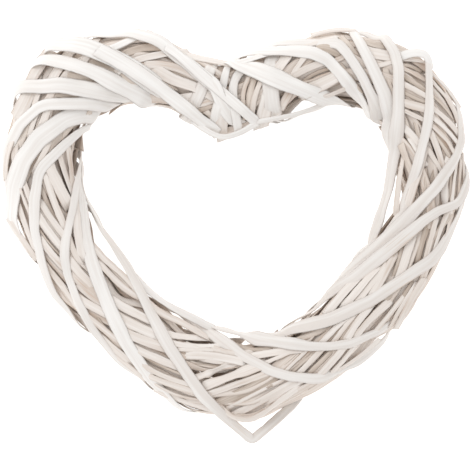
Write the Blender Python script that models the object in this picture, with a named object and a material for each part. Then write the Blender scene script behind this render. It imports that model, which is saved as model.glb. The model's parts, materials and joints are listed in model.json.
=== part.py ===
"""A heart-shaped wreath frame wound from flat strips of split willow, washed with white paint.

The frame is a ring of strips with no solid middle. Every strip is told by where it runs in heart
coordinates: the station along the heart's centreline in millimetres, clockwise from the notch as
seen from the front, the angle round the ring, from 0 on the outer rim over 90 on the front to 180 on
the inner rim, and the height above the ring that the first layer is wound on. The strips are laid one
after the other, each pulled tight over those that lie there already, as a wreath is wound.
"""

import math
from typing import NamedTuple

import bpy
import numpy as np

MM = 0.001

# Centreline of the ring, clockwise from the notch, in millimetres
HEART_KNOTS = (
    (-4.0, 86.5), (25.5, 95.0), (61.5, 108.0), (98.5, 98.0), (118.5, 73.5), (125.0, 38.0),
    (114.5, -4.0), (85.0, -45.5), (47.0, -78.0), (11.5, -92.5), (-26.0, -87.0), (-55.5, -66.5),
    (-88.5, -34.0), (-114.0, 4.0), (-126.5, 44.5), (-113.5, 85.5), (-80.0, 106.0), (-44.5, 104.5),
)
RING_RADIUS = 18.0          # what the first layer is wound on
RING_FLATNESS = 0.88        # depth of the ring over its width
GAP = 0.34                  # air between two strips that touch
FLOOR_LIFT = 1.4            # how far the lowest corners are pressed flat on the back
PRESSED_EDGE = 0.3          # what is left of a strip's thickness where it is pressed

# How finely lines are stepped
LINE_POINTS = 1448          # on the heart's centreline, one every half millimetre
ROUTE_STEPS = 400
BEND_STEPS = 200
SHORTEST_FACET = 7.0        # between two sections of a strip
CELL = 1.0                  # of the pile, in millimetres along the heart
CELL_ANGLE = 1.5            # of the pile, in degrees round the ring

# How a strip is pulled tight
PULLS = 40
TAKEN_OUT = 0.9             # share of a section's stand-off from its neighbours that one pull takes out
END_FOLLOWS = 0.5           # share of the same at the two ends, which are also pressed down
END_PRESSED = 0.1
LEVELLED = 0.15             # share of the twist that one pull takes out
PULLED_UNDER = 3.0          # how far below the pile a pull may bring a corner before it is pushed up
LAST_PUSHES = 8

# A wrap's route: the stations where its middle passes these angles, from the back over the outer rim,
# the front and the inner rim to the back again. None leaves an angle out.
WRAP_ANGLES = (-30.0, 0.0, 30.0, 60.0, 90.0, 120.0, 150.0, 180.0, 285.0)

# Wraps, in the order in which they are laid: width and stations
WRAPS = (
    (8.5, (-32, -20, 5, 22, 35, 47, 64, 82, 118)),
    (7.0, (6, 19, 36, 55, 70, 82, 100, 117, 158)),
    (5.6, (24, 38, 56, 75, 85, 99, 117, 137, 192)),
    (6.8, (67, 80, 82, 87, 98, 116, 135, 155, 228)),
    (6.8, (79, 92, 97, 106, 115, 132, 157, 235, 280)),
    (5.5, (101, 114, 119, 131, 149, 188, 238, 262, 310)),
    (7.0, (129, 142, 162, 172, 190, 219, 254, 288, 352)),
    (7.5, (175, 188, 211, 235, 269, 306, 337, 360, 410)),
    (5.8, (160, 172, 188, 194, 207, 242, 282, 312, 374)),
    (6.5, (244, 257, 276, 295, 312, 329, 352, 400, 458)),
    (6.0, (271, 284, 312, 329, 343, 359, 382, 410, 486)),
    (7.5, (382, 395, 416, 439, 470, 503, 526, 552, 596)),
    (4.5, (407, 420, 450, 486, 513, 533, 553, 575, 628)),
    (5.8, (455, 468, 497, 531, 559, 576, 596, 610, 656)),
    (9.8, (511, 524, 548, 565, 584, 602, 616, 628, 690)),
    (6.3, (542, 555, 577, 594, 604, 617, 634, 650, 712)),
    (8.0, (595, 600, 604, 609, 618, 635, 656, 678, 738)),
    (7.2, (607, 613, 619, 626, 635, 651, 677, 698, 758)),
    (9.4, (618, 625, 632, 641, 655, 680, 705, 720, 782)),
    (7.0, (633, 645, 663, 683, 720, 731, 738, 745, 808)),
)

# The strip whose end is folded over to make the pointed loop at the tip: first like a wrap, from the
# back over the inner rim and down the front, then free, as places in the heart's own plane and above it
FOLDED_PLACE = 11           # how many wraps lie under it
FOLDED_WIDTH = 5.4
FOLDED_ROUTE = ((564, 285), (544, 232), (520, 180), (480, 150), (444, 120), (408, 90), (384, 62))
FOLDED_POINTS = (
    (-8.7, -109.4, 12.5), (-2.1, -118.9, 8.5), (4.5, -125.8, 5.0), (10.0, -130.4, 3.0),
    (12.8, -131.2, 2.0),
    (15.6, -129.4, 1.0), (22.9, -122.2, -2.0), (29.5, -115.2, -5.0), (35.5, -109.2, -9.0),
    (42.5, -101.0, -14.5),
)

# Short strips wound almost straight across the ring under the notch: width and stations as for the wraps
BINDINGS = (
    (10.0, (None, 45, 40, 34, 28, 24, 22, 21, 19)),
    (8.0, (None, None, 712, 714, 716, 717, 718, 717, 712)),
    (6.0, (None, None, 728, 728, 729, 729, 730, 730, 729)),
)

# Strips along the inner rim: how many wraps lie under each, its width, how far its middle stands off, and
# its route as station and angle
RIM_STRIPS = (
    (20, 5.0, 0.0, ((395, 222), (422, 196), (450, 181), (490, 175), (525, 177), (560, 192), (600, 225))),
    (0, 4.2, 2.5, ((2, 228), (13, 200), (26, 184), (42, 180), (64, 180), (88, 190), (115, 215))),
)

# The lining: strips that run the other way round, more or less side by side
LINING_COUNT = 15
LINING_TURN = -0.49         # degrees round the ring for each millimetre along the heart
LINING_LENGTH = 690.0
LINING_STEP = 0.382         # from one strip's start to the next one's, as a share of the length
LINING_SWAY = 7.0           # degrees to each side
LINING_SHORT_SWAY = 2.8
LINING_WIDTH = 6.4
LINING_WIDTH_SPREAD = 1.3

# Shorter strips over the lining, steeper than it is, each right across the front
CROSS_COUNT = 9
CROSS_TURN = -0.78
CROSS_TURN_SPREAD = 0.2
CROSS_START = 0.35          # of the first, as a share of the room between two
CROSS_SWAY = 5.0            # millimetres to each side
CROSS_WIDTH = 5.4
CROSS_WIDTH_SPREAD = 1.1
CROSS_REACH = 98.0          # degrees to each side of the front's middle

# The broad strips inside, which nearly follow the heart's line
RUNNER_COUNT = 4
RUNNER_DEPTH = 3.0          # how far inside the ring's radius they lie
RUNNER_WIDTH = 11.0
RUNNER_LENGTH = 700.0
RUNNER_STEP = 170.0         # from one strip's start to the next one's
RUNNER_FIRST_ANGLE = 40.0
RUNNER_TURN = 0.06


class Kind(NamedTuple):
    """What one kind of strip is like, in millimetres, with the looks of its surface."""

    thickness: float
    sag: float              # how far a straight facet may stand off the bend that it follows
    longest_facet: float
    slack: float            # how far it may stand off what it lies on
    finish: str
    colour: tuple
    roughness: float


RUNNER = Kind(1.5, 1.3, 34.0, 1.2, "bare_willow", (0.33, 0.24, 0.18), 0.85)
LINING = Kind(1.0, 0.65, 28.0, 0.6, "thinly_washed_willow", (0.74, 0.66, 0.60), 0.8)
WRAP = Kind(1.1, 0.35, 12.5, 0.9, "washed_willow", (0.85, 0.83, 0.80), 0.75)


def closed_spline(knots):
    """Even points on the periodic cubic spline through the knots, and its length."""
    knots = np.asarray(knots, float)
    count = len(knots)
    gaps = np.linalg.norm(np.roll(knots, -1, 0) - knots, axis=1)
    matrix = np.zeros((count, count))
    right = np.zeros((count, 2))
    for i in range(count):
        before, after, follower = gaps[i - 1], gaps[i], (i + 1) % count
        matrix[i, i - 1] += before
        matrix[i, i] += 2 * (before + after)
        matrix[i, follower] += after
        right[i] = 6 * ((knots[follower] - knots[i]) / after - (knots[i] - knots[i - 1]) / before)
    bends = np.linalg.solve(matrix, right)
    pieces = []
    for i in range(count):
        j = (i + 1) % count
        h = gaps[i]
        t = np.linspace(0, h, 40, endpoint=False)[:, None]
        pieces.append(
            bends[i] * (h - t) ** 3 / (6 * h) + bends[j] * t ** 3 / (6 * h)
            + (knots[i] / h - bends[i] * h / 6) * (h - t) + (knots[j] / h - bends[j] * h / 6) * t
        )
    points = np.concatenate(pieces)
    loop = np.vstack([points, points[:1]])
    along = np.concatenate([[0.0], np.cumsum(np.linalg.norm(np.diff(loop, axis=0), axis=1))])
    length = along[-1]
    even = np.linspace(0, length, LINE_POINTS, endpoint=False)
    return np.stack([np.interp(even, along, loop[:, 0]), np.interp(even, along, loop[:, 1])], 1), length


class Ring:
    """The heart's ring, which turns heart coordinates into points and back."""

    def __init__(self, knots, radius, flatness):
        self.line, self.length = closed_spline(knots)
        self.radius = radius
        self.flatness = flatness
        tangent = np.roll(self.line, -3, 0) - np.roll(self.line, 3, 0)
        self.tangent = tangent / np.linalg.norm(tangent, axis=1)[:, None]
        heading = np.arctan2(self.tangent[:, 1], self.tangent[:, 0])
        turn = (np.roll(heading, -4) - np.roll(heading, 4) + math.pi) % (2 * math.pi) - math.pi
        self.bend = turn / (8 * self.length / len(self.line))

    def _at(self, values, station):
        place = np.asarray(station, float) / self.length * len(self.line)
        low = np.floor(place).astype(int)
        share = place - low
        if values.ndim > 1:
            share = share[..., None]
        count = len(self.line)
        return values[low % count] * (1 - share) + values[(low + 1) % count] * share

    def frame(self, station):
        """Centre, direction of travel and outward direction at the stations."""
        centre = self._at(self.line, station)
        travel = self._at(self.tangent, station)
        travel = travel / np.linalg.norm(travel, axis=-1)[..., None]
        return centre, travel, np.stack([-travel[..., 1], travel[..., 0]], -1)

    def point(self, station, angle, height):
        centre, _, outward = self.frame(station)
        turn = np.radians(angle)
        reach = self.radius + np.asarray(height, float)
        flat = centre + outward * (reach * np.cos(turn))[..., None]
        return np.concatenate([flat, (self.flatness * reach * np.sin(turn))[..., None]], -1)

    def nearest(self, points):
        """Stations of the centreline's points that are nearest to the given ones."""
        distance = np.linalg.norm(points[:, None, :2] - self.line[None], axis=2)
        return np.argmin(distance, axis=1) * self.length / len(self.line)

    def coordinates(self, points, station):
        """Station, angle and height of points, from a guess of their stations."""
        for _ in range(2):
            centre, travel, outward = self.frame(station)
            arm = points[..., :2] - centre
            ahead = np.sum(arm * travel, -1)
            out = np.sum(arm * outward, -1)
            stretch = np.maximum(1 - self._at(self.bend, station) * out, 0.3)
            station = station + np.clip(ahead / stretch, -6.0, 6.0)
        centre, travel, outward = self.frame(station)
        out = np.sum((points[..., :2] - centre) * outward, -1)
        up = points[..., 2] / self.flatness
        return station, np.degrees(np.arctan2(up, out)), np.hypot(out, up) - self.radius


class Pile:
    """How high the strips already stand at each station and angle."""

    def __init__(self, ring, base):
        self.ring = ring
        self.rows = int(round(ring.length / CELL))
        self.columns = int(round(360 / CELL_ANGLE))
        self.top = np.full((self.rows, self.columns), base)

    def _cells(self, station, angle):
        row = np.floor(station / self.ring.length * self.rows).astype(int) % self.rows
        column = np.floor(angle / CELL_ANGLE).astype(int) % self.columns
        return row, column

    def spread(self):
        """The pile grown by a cell each way, for what is laid on it."""
        grown = self.top
        for axis in (0, 1):
            grown = np.maximum(grown, np.maximum(np.roll(grown, 1, axis), np.roll(grown, -1, axis)))
        return grown

    def read(self, grown, station, angle):
        return grown[self._cells(station, angle)]

    def lay(self, station, angle, height):
        np.maximum.at(self.top, self._cells(station, angle), height)

    def raise_floor(self, base):
        self.top = np.maximum(self.top, base)


def smooth_route(points):
    """A Catmull-Rom curve through the points of a route, in fine steps."""
    points = np.asarray(points, float)
    weight = np.array([1.0, RING_RADIUS * math.pi / 180])
    gaps = np.sqrt(np.linalg.norm(np.diff(points, axis=0) * weight, axis=1))
    knots = np.concatenate([[0.0], np.cumsum(gaps)])
    slopes = np.gradient(points, knots, axis=0)
    where = np.linspace(0, knots[-1], ROUTE_STEPS)
    cell = np.clip(np.searchsorted(knots, where, side="right") - 1, 0, len(points) - 2)
    width = (knots[cell + 1] - knots[cell])[:, None]
    t = ((where - knots[cell])[:, None]) / width
    return (
        (2 * t ** 3 - 3 * t ** 2 + 1) * points[cell] + (t ** 3 - 2 * t ** 2 + t) * width * slopes[cell]
        + (-2 * t ** 3 + 3 * t ** 2) * points[cell + 1] + (t ** 3 - t ** 2) * width * slopes[cell + 1]
    )


def even_bends(path, along, kind):
    """Places along a path so spaced that the straight facet between two stands off it by about the sag."""
    evenly = np.linspace(0, along[-1], BEND_STEPS)
    points = np.stack([np.interp(evenly, along, path[:, axis]) for axis in range(3)], 1)
    travel = np.gradient(points, evenly, axis=0)
    bend = np.linalg.norm(np.gradient(travel, evenly, axis=0), axis=1)
    bend = np.convolve(np.pad(bend, 6, mode="edge"), np.full(13, 1 / 13), mode="valid")
    length = np.clip(np.sqrt(8 * kind.sag / (bend + 1e-9)), SHORTEST_FACET, kind.longest_facet)
    done = np.concatenate([[0.0], np.cumsum(np.diff(evenly) / length[1:])])
    count = max(3, int(round(done[-1])))
    return np.interp(np.linspace(0, done[-1], count + 1), done, evenly)


def facet_weights():
    """Corner weights of sample points on the two triangles between two sections of a strip."""
    weights = []
    for u in np.linspace(0, 1, 19):
        for v in np.linspace(0, 1, 13):
            if v <= u:
                weights.append((1 - u, 0.0, u - v, v))
            else:
                weights.append((1 - v, v - u, 0.0, u))
    return np.array(weights)


FACET = facet_weights()
COARSE_FACET = FACET[::3]


class Strip:
    """One flat strip: its route in heart coordinates, then the section corners that it gets."""

    def __init__(self, ring, name, kind, route, width, free_points=()):
        self.ring, self.name, self.kind = ring, name, kind
        dense = smooth_route(route)
        path = ring.point(dense[:, 0], dense[:, 1], np.zeros(len(dense)))
        along = np.concatenate([[0.0], np.cumsum(np.linalg.norm(np.diff(path, axis=0), axis=1))])
        even = even_bends(path, along, kind)
        station = np.interp(even, along, dense[:, 0])
        angle = np.interp(even, along, dense[:, 1])
        middle = ring.point(station, angle, np.zeros(len(even)))
        out = self._outward(station, angle)
        self.wound = len(even)
        if free_points:
            ends = np.array(free_points)
            middle = np.concatenate([middle, ends])
            out = np.concatenate([out, np.tile((0.0, 0.0, 1.0), (len(ends), 1))])
            s, a, _ = ring.coordinates(ends, ring.nearest(ends))
            station = np.concatenate([station, s])
            angle = np.concatenate([angle, a])
        self.count = len(middle)
        travel = np.gradient(middle, axis=0)
        side = np.cross(out, travel)
        side /= np.linalg.norm(side, axis=1)[:, None]
        self.stations = np.empty((self.count, 2))
        self.angles = np.empty((self.count, 2))
        self.heights = np.zeros((self.count, 2))
        for edge, way in enumerate((1, -1)):
            s, a, h = ring.coordinates(middle + side * (way * width / 2), station)
            self.stations[:, edge] = s
            self.angles[:, edge] = angle + (a - angle + 180) % 360 - 180
            self.heights[self.wound:, edge] = h[self.wound:]
        self.outward = self._outward(self.stations, self.angles)

    def _outward(self, station, angle):
        _, _, outward = self.ring.frame(station)
        turn = np.radians(angle)
        flat = outward * (self.ring.flatness * np.cos(turn))[..., None]
        direction = np.concatenate([flat, np.sin(turn)[..., None]], -1)
        return direction / np.linalg.norm(direction, axis=-1)[..., None]

    def under(self):
        """Corners of the strip's under side, one row of two for each section."""
        return self.ring.point(self.stations, self.angles, self.heights)

    def over(self):
        below = self.under()
        travel = np.gradient((below[:, 0] + below[:, 1]) / 2, axis=0)
        face = np.cross(travel, below[:, 0] - below[:, 1])
        face /= np.linalg.norm(face, axis=1)[:, None]
        return below + face[:, None, :] * self.kind.thickness

    def _samples(self, corners, weights):
        """Heart coordinates of sample points on every facet between sections."""
        quads = np.stack([corners[:-1, 0], corners[:-1, 1], corners[1:, 0], corners[1:, 1]], 1)
        guess = np.stack([self.stations[:-1, 0], self.stations[:-1, 1],
                          self.stations[1:, 0], self.stations[1:, 1]], 1)
        points = np.einsum("kc,fcx->fkx", weights, quads)
        return self.ring.coordinates(points, np.einsum("kc,fc->fk", weights, guess))

    def _push_up(self, grown, pile, rounds):
        """Lifts the corners until every facet clears the pile by the gap, every other facet at a time."""
        for turn in range(2 * rounds):
            station, angle, height = self._samples(self.under(), COARSE_FACET)
            short = pile.read(grown, station, angle) + GAP - height
            worst = np.argmax(short, axis=1)
            lift = np.take_along_axis(short, worst[:, None], 1)[:, 0]
            lift[turn % 2::2] = 0
            for facet in np.nonzero(lift > 0)[0]:
                weight = COARSE_FACET[worst[facet]]
                push = lift[facet] * weight / np.sum(weight ** 2)
                self.heights[facet] += push[:2]
                self.heights[facet + 1] += push[2:]

    def _pull_tight(self, floor, ease):
        """Brings every wound section nearer to the straight line between its neighbours."""
        corners = self.under()
        halfway = (corners[:-2] + corners[2:]) / 2
        drop = np.sum((halfway - corners[1:-1]) * self.outward[1:-1], -1)
        pulled = self.heights.copy()
        pulled[1:-1] += TAKEN_OUT * drop
        pulled[0] += END_FOLLOWS * (pulled[1] - pulled[0]) - END_PRESSED
        pulled[-1] += END_FOLLOWS * (pulled[-2] - pulled[-1]) - END_PRESSED
        pulled += LEVELLED * (pulled.mean(axis=1, keepdims=True) - pulled)
        pulled = np.clip(pulled, floor - PULLED_UNDER, floor + self.kind.slack)
        self.heights[:self.wound] += ease * (pulled - self.heights)[:self.wound]

    def lay_on(self, pile, stand_off=0.0):
        """Pulls the strip tight over the pile, with its middle the given distance off it."""
        grown = pile.spread()
        floor = pile.read(grown, self.stations, self.angles) + GAP
        floor += stand_off * np.sin(np.linspace(0, math.pi, self.count))[:, None] ** 2
        self.heights[:self.wound] = floor[:self.wound]
        for pull in range(0 if stand_off else PULLS):
            self._pull_tight(floor, 1 - pull / PULLS)
            self._push_up(grown, pile, 1)
        self._push_up(grown, pile, LAST_PUSHES)
        for corners in (self.over(), self.under()):
            station, angle, height = self._samples(corners, FACET)
            pile.lay(station.ravel(), angle.ravel(), height.ravel())


def wrap_route(stations):
    return [(station, angle) for station, angle in zip(stations, WRAP_ANGLES) if station is not None]


def unlike(index, step, along=0.0):
    """A number from -1 to 1 that differs from strip to strip, and smoothly along each."""
    return math.sin(step * index + along)


def lining_width(index):
    return LINING_WIDTH + LINING_WIDTH_SPREAD * unlike(index, 2.9, 1.0)


def lining_route(index):
    """A strip of the lining, once round the heart, swaying against its neighbours."""
    first_angle = index * 360 / LINING_COUNT
    start = (index * LINING_STEP % 1) * LINING_LENGTH
    route = []
    for share in np.linspace(0, 1, 11):
        station = start + share * LINING_LENGTH
        sway = LINING_SWAY * unlike(index, 2.4, 6.5 * share)
        sway += LINING_SHORT_SWAY * unlike(index, 4.1, 15 * share)
        route.append((station, first_angle + LINING_TURN * station + sway))
    return route


def cross_width(index):
    return CROSS_WIDTH + CROSS_WIDTH_SPREAD * unlike(index, 1.7)


def cross_route(index, length):
    """A steep strip of the lining, which passes the front's middle at its own middle."""
    middle = (index + CROSS_START) * length / CROSS_COUNT
    turn = CROSS_TURN + CROSS_TURN_SPREAD * unlike(index, 2.2)
    route = []
    for angle in np.linspace(CROSS_REACH, -CROSS_REACH, 7):
        sway = CROSS_SWAY * unlike(index, 3.1, angle / 50)
        route.append((middle + angle / turn + sway, 90 + angle))
    return route


def runner_route(index):
    angle = RUNNER_FIRST_ANGLE + index * 360 / RUNNER_COUNT
    start = index * RUNNER_STEP
    return [(start + along, angle + RUNNER_TURN * along) for along in np.linspace(0, RUNNER_LENGTH, 8)]


def make_material(kind):
    material = bpy.data.materials.new(kind.finish)
    material.use_nodes = True
    shader = material.node_tree.nodes["Principled BSDF"]
    shader.inputs["Base Color"].default_value = (*kind.colour, 1.0)
    shader.inputs["Roughness"].default_value = kind.roughness
    return material


def make_strip(strip, material, shift):
    """A closed mesh through the strip's sections, pressed flat where it would pass the floor."""
    rings = np.concatenate([strip.under(), strip.over()[:, ::-1]], axis=1) + shift
    rings[:, :2, 2] = np.maximum(rings[:, :2, 2], PRESSED_EDGE)
    rings[:, 2:, 2] = np.maximum(rings[:, 2:, 2], 0.0)
    count = strip.count
    faces = [(0, 1, 2, 3), tuple(4 * count - 1 - k for k in range(4))]
    for i in range(count - 1):
        a, b = 4 * i, 4 * i + 4
        faces += [(a, b, b + 1), (a, b + 1, a + 1)]
        faces += [(a + 1, b + 1, b + 2, a + 2)]
        faces += [(a + 3, a + 2, b + 2), (a + 3, b + 2, b + 3)]
        faces += [(a + 3, b + 3, b, a)]
    mesh = bpy.data.meshes.new(strip.name)
    mesh.from_pydata([tuple(MM * v) for v in rings.reshape(-1, 3)], [], faces)
    mesh.validate()
    mesh.materials.append(material)
    piece = bpy.data.objects.new(strip.name, mesh)
    bpy.context.scene.collection.objects.link(piece)
    return piece


def wind(ring):
    """All strips of the frame, in the order in which they are laid."""
    pile = Pile(ring, -RUNNER_DEPTH - GAP)
    strips = []

    def lay(name, kind, route, width, stand_off=0.0, free_points=()):
        strip = Strip(ring, name, kind, route, width, free_points)
        strip.lay_on(pile, stand_off)
        strips.append(strip)

    for index in range(RUNNER_COUNT):
        lay(f"core_runner_{index + 1}", RUNNER, runner_route(index), RUNNER_WIDTH)
    pile.raise_floor(-GAP)
    for index in range(LINING_COUNT):
        lay(f"lining_strip_{index + 1:02d}", LINING, lining_route(index), lining_width(index))
    for index in range(CROSS_COUNT):
        lay(f"cross_strip_{index + 1}", LINING, cross_route(index, ring.length), cross_width(index))
    for index, (width, stations) in enumerate(BINDINGS):
        lay(f"notch_binding_{index + 1}", WRAP, wrap_route(stations), width)
    for under in range(len(WRAPS) + 1):
        if under == FOLDED_PLACE:
            lay("folded_tip_strip", WRAP, FOLDED_ROUTE, FOLDED_WIDTH, free_points=FOLDED_POINTS)
        for index, (place, width, stand_off, route) in enumerate(RIM_STRIPS):
            if under == place:
                lay(f"rim_strip_{index + 1}", WRAP, route, width, stand_off)
        if under < len(WRAPS):
            width, stations = WRAPS[under]
            lay(f"wrap_strip_{under + 1:02d}", WRAP, wrap_route(stations), width)
    return strips


def main():
    for old in list(bpy.data.objects):
        bpy.data.objects.remove(old, do_unlink=True)
    materials = {kind: make_material(kind) for kind in (RUNNER, LINING, WRAP)}
    strips = wind(Ring(HEART_KNOTS, RING_RADIUS, RING_FLATNESS))
    corners = np.concatenate([np.concatenate([s.under(), s.over()]).reshape(-1, 3) for s in strips])
    low, high = corners.min(axis=0), corners.max(axis=0)
    shift = np.array([-(low[0] + high[0]) / 2, -(low[1] + high[1]) / 2, -low[2] - FLOOR_LIFT])
    for strip in strips:
        make_strip(strip, materials[strip.kind], shift)


main()
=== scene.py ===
"""The looks of a heart-shaped wreath frame, wound from strips of split willow and washed with white paint.

A strip of the CAD is a faceted solid with four corners to a section. Its sections are read back from the
frame, and a strip with a crowned, fibrous and slightly ragged skin is drawn through them. Where the photograph
shows a strip beside its solid, the skin is moved sideways towards it, by up to 9.5 mm. Further thin strips lie
on the lining between the wraps.
"""

import itertools
import json
import math
from dataclasses import dataclass, replace

import bpy
import numpy as np
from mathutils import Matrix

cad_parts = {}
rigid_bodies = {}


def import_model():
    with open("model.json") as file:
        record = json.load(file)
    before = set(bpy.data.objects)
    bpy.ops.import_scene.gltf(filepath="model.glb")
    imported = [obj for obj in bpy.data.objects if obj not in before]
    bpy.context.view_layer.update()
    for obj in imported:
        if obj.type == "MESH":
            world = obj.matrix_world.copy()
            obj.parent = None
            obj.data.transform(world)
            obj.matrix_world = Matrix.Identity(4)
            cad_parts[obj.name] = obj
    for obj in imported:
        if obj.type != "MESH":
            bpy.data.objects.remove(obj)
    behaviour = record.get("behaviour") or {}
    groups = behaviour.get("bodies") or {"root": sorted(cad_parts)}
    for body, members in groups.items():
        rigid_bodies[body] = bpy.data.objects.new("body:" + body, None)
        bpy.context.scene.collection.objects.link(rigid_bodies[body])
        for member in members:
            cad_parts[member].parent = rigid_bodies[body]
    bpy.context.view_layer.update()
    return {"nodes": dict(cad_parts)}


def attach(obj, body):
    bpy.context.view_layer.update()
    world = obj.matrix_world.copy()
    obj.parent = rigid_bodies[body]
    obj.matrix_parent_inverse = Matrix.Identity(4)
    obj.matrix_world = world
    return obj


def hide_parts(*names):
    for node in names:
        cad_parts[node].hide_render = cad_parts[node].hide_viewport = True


MM = 0.001

# Where the photograph's middle is on the part, and what it shows from side to side
PHOTO_MIDDLE = (-0.56 * MM, -0.19 * MM, 30 * MM)
PHOTO_WIDTH = 301.3 * MM
PHOTO_PIXELS = 470
CAMERA_DISTANCE = 4.0
SENSOR = 36.0

HUB_REACH = 30 * MM         # how far round a strip the ring's inside is looked for
PULL_LIMIT = 6.5 * MM       # how far a wrap is drawn from its solid's middle, at most
PULL_FADE = 22 * MM         # over what length that fades past the seen part of a wrap
PULL_SMOOTH = 3 * MM
CATCH = 14 * MM             # a wrap's point further from its line than this isn't drawn to it
SEEN_FACING = -0.1          # how far a wrap may face away from the front and still count as seen
LEG_POINTS = 60             # points on a traced line from one of its kinks to the next

# The middle of each outer strip where it is seen from the front, in the photograph's pixels
SEEN_WRAPS = {
    "wrap_strip_01": ((235, 64), (255, 70), (290, 85), (330, 101), (345, 105)),
    "wrap_strip_02": ((268, 51), (290, 51), (312, 53), (327, 60), (341, 75), (364, 105), (375, 126)),
    "wrap_strip_03": ((300, 42), (338, 44), (347, 54), (363, 79), (372, 98), (386, 128)),
    "wrap_strip_04": ((356, 36), (371, 65), (384, 94), (391, 120)),
    "wrap_strip_05": ((386, 40), (394, 52), (398, 68), (398, 110), (395, 150), (388, 190), (378, 223),
                      (366, 254)),
    "wrap_strip_06": ((427, 53), (429, 70), (429, 110), (426, 130), (417, 165), (406, 197), (402, 212)),
    "wrap_strip_07": ((461, 120), (462, 140), (455, 159), (435, 188), (400, 226), (375, 250), (335, 284)),
    "wrap_strip_08": ((466, 180), (464, 200), (458, 217), (450, 233), (440, 250), (430, 261), (400, 281),
                      (370, 301), (330, 319), (290, 329)),
    "wrap_strip_09": ((451, 206), (438, 211), (424, 220), (393, 246), (362, 271)),
    "wrap_strip_10": ((400, 317), (380, 331), (350, 343), (330, 346), (310, 346), (260, 339), (210, 326)),
    "wrap_strip_11": ((310, 378), (290, 376), (270, 370), (240, 354), (200, 325), (170, 305), (150, 290),
                      (132, 268), (115, 243), (100, 222), (90, 206)),
    "wrap_strip_12": ((80, 180), (83, 205), (86, 235), (91, 258), (98, 278), (110, 309), (127, 344),
                      (150, 378)),
    "wrap_strip_13": ((82, 140), (79, 175), (73, 210), (66, 240), (65, 256), (68, 275), (77, 299),
                      (92, 328), (113, 355)),
    "wrap_strip_14": ((96, 125), (84, 129), (66, 144), (44, 166), (39, 174), (35, 200), (35, 230),
                      (41, 258)),
    "wrap_strip_15": ((100, 110), (80, 115), (66, 119), (39, 139), (23, 161), (14, 187), (11, 220)),
    "wrap_strip_16": ((120, 103), (75, 104), (42, 105), (20, 125), (6, 152)),
    "wrap_strip_17": ((22, 84), (60, 85), (100, 92), (140, 101), (155, 104)),
    "wrap_strip_18": ((37, 57), (65, 62), (92, 71), (120, 86), (165, 107)),
    "wrap_strip_19": ((60, 45), (80, 44), (96, 49), (125, 64), (160, 89), (218, 133)),
    "wrap_strip_20": ((140, 35), (152, 38), (165, 44), (200, 74), (255, 121)),
    "folded_tip_strip": ((112, 243), (128, 267), (140, 290), (152, 315), (170, 348), (187, 373),
                         (203, 396), (222, 414), (240, 430), (252, 440), (265, 430), (279, 418),
                         (293, 405)),
    "notch_binding_2": ((229, 84), (228, 98), (222, 136)),
    "notch_binding_3": ((276, 66), (273, 84), (262, 124)),
}

# Where the ring's strips lie a little differently in the photograph: middle, reach and shift, in millimetres
EASED = (
    ((-42, 70), 20, (0.0, 4.0)),
    ((-38, 116), 15, (0.5, -5.0)),
    ((-16, 116), 12, (0.0, -3.0)),
    ((30, 122), 15, (0.0, -3.0)),
    ((12, -112), 16, (0.0, -5.0)),
    ((17, 60), 14, (0.0, 2.5)),
    ((22, 69), 9, (0.0, 4.0)),
    ((-32, -62), 12, (-1.0, -5.0)),
    ((100, 14), 15, (6.0, 0.0)),
    ((-97, 56), 16, (3.5, -1.0)),
    ((-86, 76), 12, (2.5, -3.0)),
    ((-119, 119), 14, (-2.0, 1.5)),
    ((92, 66), 14, (-2.5, -0.5)),
    ((92, -70), 12, (-2.5, 2.0)),
    ((-110, -46), 14, (-2.0, -1.5)),
    ((-30, -111), 16, (0.0, -3.0)),
)
# The same where only the strips under the wraps lie differently
EASED_UNDER = (
    ((75, -15), 15, (5.5, -4.5)),
    ((-84, -7), 14, (-6.0, -4.0)),
    ((-70, -35), 12, (-4.5, -5.0)),
    ((39, 83), 12, (0.0, 7.0)),
    ((98, 30), 12, (4.0, 0.0)),
)

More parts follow.
